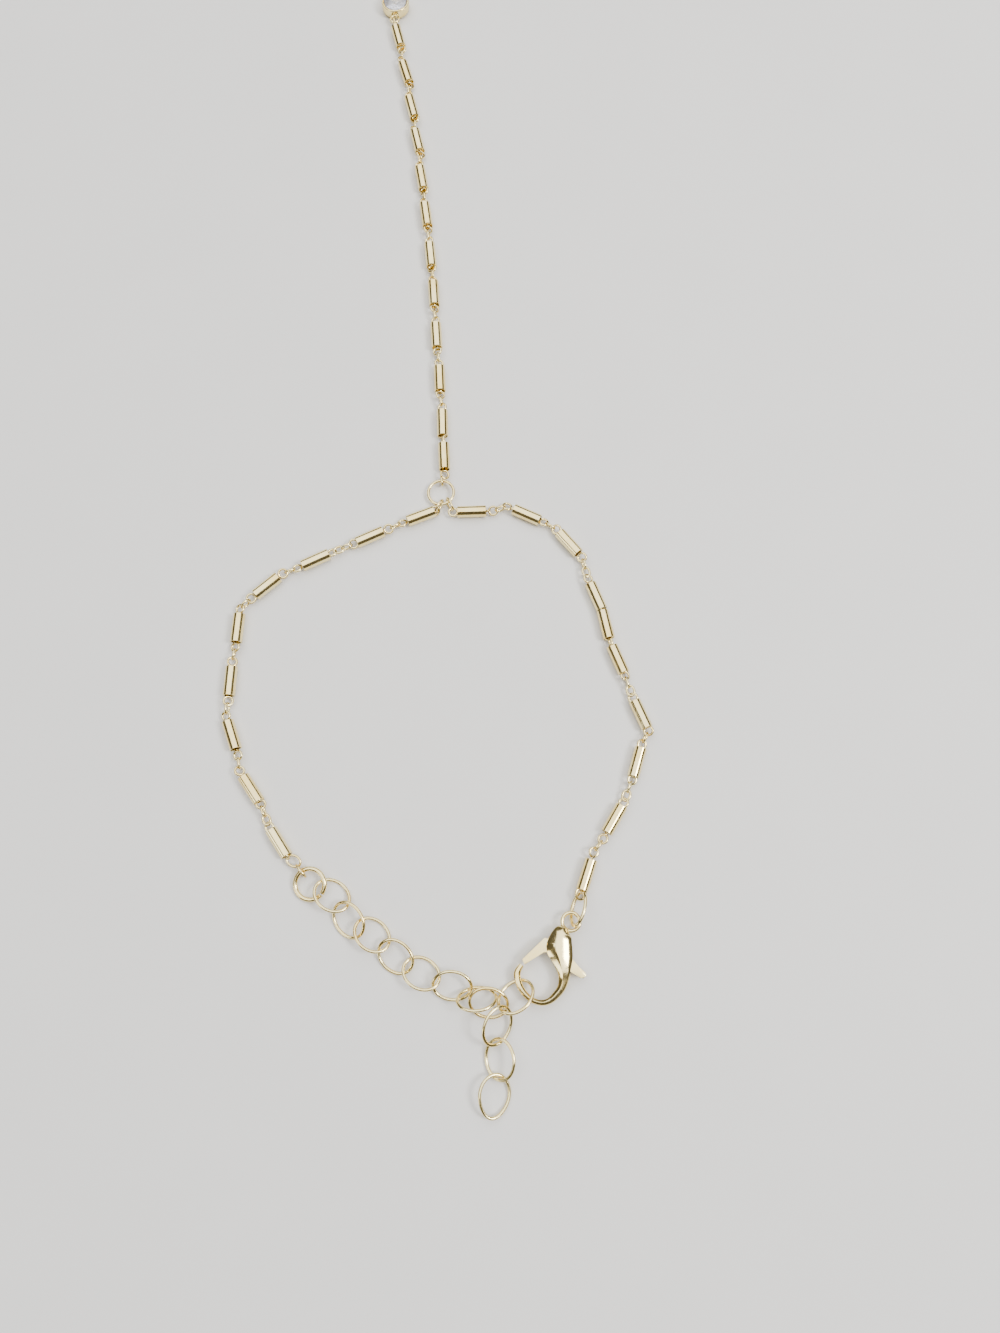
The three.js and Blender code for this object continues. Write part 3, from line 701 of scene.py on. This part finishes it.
class HANDCHAIN_OT_chains(bpy.types.Operator):
    """Build the strand and the two wrist chains of tubes, eyes and small links"""

    bl_idname = "hand_chain.chains"
    bl_label = "Chains of tubes"

    def execute(self, context):
        size = sizes("links")
        gold = gold_finish()
        end = end_of(STRAND_TUBES)
        way = STRAND_TUBES[-1][2]
        reach = reach_to(end, way, STRAND_END, span(size.eye, size.link_length))
        strand = tube_chain(STRAND_TUBES)
        strand += tube_eye(start_of(STRAND_TUBES), STRAND_TUBES[0][2] + 180, *STRAND_START_EYE)
        strand += tube_eye(end, way, reach, STRAND_END_EYE_ROLL)
        strand.append(small_ring(size.link_length, size.link_width, *STRAND_END))
        right = tube_chain(RIGHT_TUBES)
        right += tube_eye(start_of(RIGHT_TUBES), RIGHT_TUBES[0][2] + 180, *RIGHT_START_EYE)
        right += tube_eye(end_of(RIGHT_TUBES), RIGHT_TUBES[-1][2], *RIGHT_END_EYE, size.clasp_side_eye)
        right.append(small_ring(size.end_length, size.end_width, *RIGHT_START))
        end = end_of(LEFT_TUBES)
        way = LEFT_TUBES[-1][2]
        reach = reach_to(end, way, LEFT_END, span(size.eye, size.end_length))
        left = tube_chain(LEFT_TUBES)
        left += tube_eye(start_of(LEFT_TUBES), LEFT_TUBES[0][2] + 180, *LEFT_START_EYE)
        left += tube_eye(end, way, reach, LEFT_END_EYE_ROLL)
        left.append(small_ring(size.end_length, size.tie_width, *LEFT_START))
        left.append(small_ring(size.end_length, size.end_width, *LEFT_END))
        x, y = step(LEFT_END, LEFT_TIE_WAY, span(size.end_length, size.end_length))
        tie = (x, y, LEFT_TIE_HEIGHT, LEFT_TIE_WAY, LEFT_TIE_ROLL)
        left.append(small_ring(size.end_length, size.tie_width, *tie))
        chains = {"hand_strand": strand, "wrist_chain_right": right, "wrist_chain_left": left}
        for node, shapes in chains.items():
            finished(fused(node + "_tubes", shapes), gold, MAIN_BODY, [node])
        return {"FINISHED"}


class HANDCHAIN_OT_rings(bpy.types.Operator):
    """Build the junction ring, the open jump ring, the extender, its tail and the clasp's link"""

    bl_idname = "hand_chain.rings"
    bl_label = "Rings and extender"

    def execute(self, context):
        size = sizes("rings")
        gold = gold_finish()
        for node, place in RING_PLACES.items():
            measures = (size.extender_length, size.extender_width, size.extender_wire)
            point = 0.0
            if node == "junction_ring":
                measures = (size.junction, size.junction, size.junction_wire)
            elif node == "end_jump_ring":
                measures = (size.jump, size.jump, size.jump_wire)
            elif node == "tail_link_3":
                measures = (size.last_length, size.extender_width, size.extender_wire)
                point = size.last_point
            elif node == "clasp_link":
                measures = (size.clasp_link_length, size.clasp_link_width, size.clasp_link_wire)
            made = mesh_object(node + "_wire", oval(*measures, turned(*place), point, steps=64, sides=16))
            if node == "end_jump_ring":
                x, y = step(place, JUMP_CUT_WAY, size.jump / 2)
                cut = bmesh.new()
                bmesh.ops.create_cube(cut, size=1.0)
                cut.transform(Matrix.Diagonal((size.jump, size.jump_cut, size.jump, 1.0)))
                cut.transform(turned(x, y, place[2], JUMP_CUT_WAY))
                rounded(boolean(made, [cut], "DIFFERENCE"), JUMP_CUT_EDGE, angle=60)
            finished(made, gold, MAIN_BODY, [node], 50)
        return {"FINISHED"}


class HANDCHAIN_OT_finger(bpy.types.Operator):
    """Build the finger ring and the ring that ties it to the cup"""

    bl_idname = "hand_chain.finger"
    bl_label = "Finger ring"

    def execute(self, context):
        size = sizes("rings")
        cup = sizes("crystal")
        gold = gold_finish()
        eye_out = cup.diameter / 2 + cup.eye_out + (cup.eye - cup.eye_wire) / 2
        wire = size.finger_tie_wire
        tie_out = eye_out + (size.finger_tie_length - wire) / 2 - cup.eye_wire - wire / 2
        wire_out = tie_out + size.finger_tie_length / 2 - wire - size.finger_wire / 2 - FINGER_PLAY
        radius = (size.finger_bore + size.finger_wire) / 2
        x, y = step(CUP_PLACE, CUP_TO_FINGER, wire_out + radius)
        pitch = -math.degrees(math.asin(FINGER_RISE / 2 / radius))
        place = turned(x, y, (size.finger_wire + FINGER_RISE) / 2, CUP_TO_FINGER, 0, pitch)
        outer = size.finger_bore + 2 * size.finger_wire
        ring = oval(outer, outer, size.finger_wire, place, steps=128, sides=20)
        finished(mesh_object("finger_ring_wire", ring), gold, MAIN_BODY, ["finger_ring"], 50)
        x, y = step(CUP_PLACE, CUP_TO_FINGER, tie_out)
        place = turned(x, y, size.finger_tie_width / 2, CUP_TO_FINGER, FINGER_TIE_ROLL)
        tie = oval(size.finger_tie_length, size.finger_tie_width, wire, place, steps=56, sides=16)
        finished(mesh_object("finger_tie_wire", tie), gold, MAIN_BODY, ["finger_tie_ring"], 50)
        return {"FINISHED"}


class HANDCHAIN_OT_crystal(bpy.types.Operator):
    """Build the cup with its two eyes and the cut crystal in it"""

    bl_idname = "hand_chain.crystal"
    bl_label = "Crystal in its cup"

    def execute(self, context):
        size = sizes("crystal")
        gold = gold_finish()
        outer = size.diameter / 2
        inner = outer - size.wall
        foot = size.foot
        outline = [Vector((0, 0, 0)), Vector((outer - foot, 0, 0))]
        for number in range(1, 7):
            turn = math.pi / 2 * number / 6
            outline.append(Vector((outer - foot + foot * math.sin(turn), 0, foot - foot * math.cos(turn))))
        lip = size.wall / 2
        for number in range(7):
            turn = math.pi * number / 6
            across = outer - lip + lip * math.cos(turn)
            outline.append(Vector((across, 0, size.height - lip + lip * math.sin(turn))))
        outline += [Vector((inner, 0, size.floor)), Vector((0, 0, size.floor))]
        cup = spun(outline, 64, (0, 0, 1))
        cup.transform(turned(*CUP_PLACE, 0))
        shapes = [cup]
        heights = {CUP_TO_STRAND: size.strand_eye_height, CUP_TO_FINGER: size.finger_eye_height}
        for heading, z in heights.items():
            x, y = step(CUP_PLACE, heading, outer + size.eye_out)
            place = turned(x, y, z, heading)
            shapes.append(oval(size.eye, size.eye, size.eye_wire, place, steps=36, sides=12))
        finished(fused("crystal_cup_wall", shapes), gold, MAIN_BODY, ["crystal_cup"])
        self.cut_stone()
        return {"FINISHED"}

    def cut_stone(self):
        size = sizes("crystal")
        radius = size.diameter / 2 - size.wall - size.gap
        top = size.height + size.rise
        foot = size.floor + size.gap
        girdle = size.height - size.gap - size.girdle
        crown = top - girdle - size.girdle
        # Each ring of corners: its share of the radius, its height, how many corners and their turn.
        rings = [
            (0.55, top, 8, 0.5),
            (0.8, top - 0.45 * crown, 8, 0.0),
            (1.0, girdle + size.girdle, 16, 0.0),
            (1.0, girdle, 16, 0.0),
            (0.45, foot + 0.4 * (girdle - foot), 8, 0.5),
            (0.0, foot, 1, 0.0),
        ]
        stone = bmesh.new()
        for share, z, count, turn in rings:
            for number in range(count):
                angle = 2 * math.pi * (number + turn) / count
                stone.verts.new((share * radius * math.cos(angle), share * radius * math.sin(angle), z))
        bmesh.ops.convex_hull(stone, input=stone.verts)
        bmesh.ops.dissolve_limit(stone, angle_limit=math.radians(1), verts=stone.verts, edges=stone.edges)
        closed_up(stone)
        stone.transform(turned(*CUP_PLACE, 0))
        made = rounded(mesh_object("crystal_cut", stone), STONE_EDGE, 1, 5)
        finished(made, crystal_finish(), MAIN_BODY, ["crystal"], 5)


def curve_through(rows, share):
    """A point on a smooth curve through a table's rows, at a share of the way."""
    where = share * (len(rows) - 1)
    number = min(int(where), len(rows) - 2)
    part = where - number
    before, one, two, after = (Vector(rows[max(0, min(len(rows) - 1, number + k))]) for k in (-1, 0, 1, 2))
    bend = (2 * before - 5 * one + 4 * two - after) * part**2 + (3 * one - before - 3 * two + after) * part**3
    return one + ((two - before) * part + bend) / 2


def clasp_body():
    """A ridged bar drawn along the clasp's curve from its eye to the tip of its hook."""
    size = sizes("clasp")
    steps = 56
    rows = [curve_through(BODY_SECTIONS, k / steps) for k in range(steps + 1)]
    places = []
    for number, row in enumerate(rows):
        ahead = rows[min(number + 1, steps)]
        behind = rows[max(number - 1, 0)]
        way = math.atan2(ahead[1] - behind[1], ahead[0] - behind[0])
        place = Matrix.Translation((row[0] * size.length, row[1] * size.length, 0))
        place = place @ Matrix.Rotation(way, 4, "Z")
        places.append(place @ Matrix.Diagonal((1.0, row[2] * size.width, row[3] * size.thickness, 1.0)))
    shape = bmesh.new()
    verts = [shape.verts.new(places[0] @ Vector((0, across, up))) for across, up in BODY_OUTLINE]
    edges = [shape.edges.new(pair) for pair in zip(verts, verts[1:] + verts[:1])]
    for before, place in zip(places, places[1:]):
        drawn = bmesh.ops.extrude_edge_only(shape, edges=edges)["geom"]
        verts = [item for item in drawn if isinstance(item, bmesh.types.BMVert)]
        edges = [item for item in drawn if isinstance(item, bmesh.types.BMEdge)]
        bmesh.ops.transform(shape, matrix=place @ before.inverted(), verts=verts)
    bmesh.ops.holes_fill(shape, edges=[edge for edge in shape.edges if edge.is_boundary])
    return closed_up(shape)


def plate(points, thick):
    """A flat plate of a given outline, with its middle height at 0."""
    size = sizes("clasp")
    shape = bmesh.new()
    pivot = Vector(PIVOT) * size.length
    corners = [(pivot.x + along * size.length, pivot.y + side * size.length) for along, side in points]
    face = shape.faces.new([shape.verts.new((x, y, -thick / 2)) for x, y in corners])
    drawn = bmesh.ops.extrude_face_region(shape, geom=[face])["geom"]
    verts = [item for item in drawn if isinstance(item, bmesh.types.BMVert)]
    bmesh.ops.translate(shape, verts=verts, vec=(0, 0, thick))
    bmesh.ops.recalc_face_normals(shape, faces=shape.faces)
    return shape


def disc(radius, thick, segments=40):
    size = sizes("clasp")
    shape = bmesh.new()
    place = Matrix.Translation((PIVOT[0] * size.length, PIVOT[1] * size.length, 0))
    bmesh.ops.create_cone(
        shape, cap_ends=True, segments=segments, radius1=radius, radius2=radius, depth=thick, matrix=place
    )
    return shape


class HANDCHAIN_OT_clasp(bpy.types.Operator):
    """Build the clasp's body with its eye and pin, and the lever that swings on the pin"""

    bl_idname = "hand_chain.clasp"
    bl_label = "Clasp"

    def execute(self, context):
        size = sizes("clasp")
        gold = gold_finish()
        slot_height = size.lever_plate + 2 * size.clearance
        keep_off = KEEP_OFF * size.length
        body = rounded(mesh_object("clasp_body_cast", clasp_body()), BODY_EDGE, 2, 25)
        slot = [disc(keep_off - size.clearance, slot_height), plate(TAB_SLOT, slot_height)]
        boolean(body, slot, "DIFFERENCE")
        eye = oval(size.eye, size.eye, size.eye_wire, Matrix(), steps=48, sides=14)
        boolean(body, [disc(size.pin / 2, PIN_SHARE * size.thickness, 24), eye], "UNION")
        body.data.transform(turned(*CLASP_PLACE))
        finished(body, gold, MAIN_BODY, ["clasp_body"], 30)
        lever = mesh_object("clasp_lever_cast", plate(GATE_OUTLINE, size.lever_gate))
        boolean(lever, [disc(keep_off, size.lever_gate * 2)], "DIFFERENCE")
        parts = [plate(GATE_OUTLINE, size.lever_plate), plate(TAB_OUTLINE, size.lever_plate)]
        boolean(lever, parts + [disc(size.lever_hub, size.lever_plate)], "UNION")
        boolean(lever, [disc(size.pin / 2 + size.clearance, size.lever_plate * 2, 24)], "DIFFERENCE")
        rounded(lever, LEVER_EDGE, 3, 30)
        lever.data.transform(turned(*CLASP_PLACE))
        finished(lever, gold, LEVER_BODY, ["clasp_lever"], 30)
        return {"FINISHED"}


class HANDCHAIN_OT_stage(bpy.types.Operator):
    """Set up the pale floor, the soft studio light and the camera"""

    bl_idname = "hand_chain.stage"
    bl_label = "Stage"

    def execute(self, context):
        scene = context.scene
        ground = bmesh.new()
        bmesh.ops.create_grid(ground, x_segments=1, y_segments=1, size=FLOOR_REACH)
        floor = mesh_object("floor", ground)
        floor.data.transform(Matrix.Translation((0, 0, -FLOOR_DROP)))
        floor.data.materials.append(floor_finish())
        world = bpy.data.worlds.new("soft room")
        world.use_nodes = True
        world.node_tree.nodes["Background"].inputs["Color"].default_value = ROOM_COLOUR
        world.node_tree.nodes["Background"].inputs["Strength"].default_value = ROOM_STRENGTH
        scene.world = world
        for name, place, side, power in LAMPS:
            data = bpy.data.lights.new(name, "AREA")
            data.shape = "SQUARE"
            data.size = side
            data.energy = power
            lamp = bpy.data.objects.new(name, data)
            lamp.location = place
            lamp.rotation_euler = (-Vector(place)).to_track_quat("-Z", "Y").to_euler()
            scene.collection.objects.link(lamp)
        data = bpy.data.cameras.new("camera")
        data.lens = CAMERA_LENS
        data.sensor_width = CAMERA_SENSOR
        data.clip_start = 0.001
        camera = bpy.data.objects.new("camera", data)
        camera.location = ORIGIN + CAMERA_PLACE
        camera.rotation_euler = (math.radians(CAMERA_TILT), 0.0, 0.0)
        scene.collection.objects.link(camera)
        scene.camera = camera
        return {"FINISHED"}


class HANDCHAIN_PT_panel(bpy.types.Panel):
    """Sizes, colours and pieces of the hand chain"""

    bl_idname = "HANDCHAIN_PT_panel"
    bl_label = "Hand chain"
    bl_space_type = "VIEW_3D"
    bl_region_type = "UI"
    bl_category = "Hand chain"

    def draw(self, context):
        for operator in OPERATORS:
            self.layout.operator(operator.bl_idname)
        for name, group in GROUPS.items():
            box = self.layout.box()
            box.label(text=name.capitalize())
            for key in group.__annotations__:
                box.prop(sizes(name), key)


OPERATORS = [
    HANDCHAIN_OT_stage,
    HANDCHAIN_OT_chains,
    HANDCHAIN_OT_rings,
    HANDCHAIN_OT_finger,
    HANDCHAIN_OT_crystal,
    HANDCHAIN_OT_clasp,
]


def register():
    for name, group in GROUPS.items():
        bpy.utils.register_class(group)
        setattr(bpy.types.Scene, "hand_chain_" + name, bpy.props.PointerProperty(type=group))
    for operator in OPERATORS:
        bpy.utils.register_class(operator)
    bpy.utils.register_class(HANDCHAIN_PT_panel)


def unregister():
    bpy.utils.unregister_class(HANDCHAIN_PT_panel)
    for operator in reversed(OPERATORS):
        bpy.utils.unregister_class(operator)
    for name, group in GROUPS.items():
        delattr(bpy.types.Scene, "hand_chain_" + name)
        bpy.utils.unregister_class(group)


def main():
    register()
    bpy.ops.hand_chain.stage()
    bpy.ops.hand_chain.chains()
    bpy.ops.hand_chain.rings()
    bpy.ops.hand_chain.finger()
    bpy.ops.hand_chain.crystal()
    bpy.ops.hand_chain.clasp()


if __name__ == "__main__":
    main()
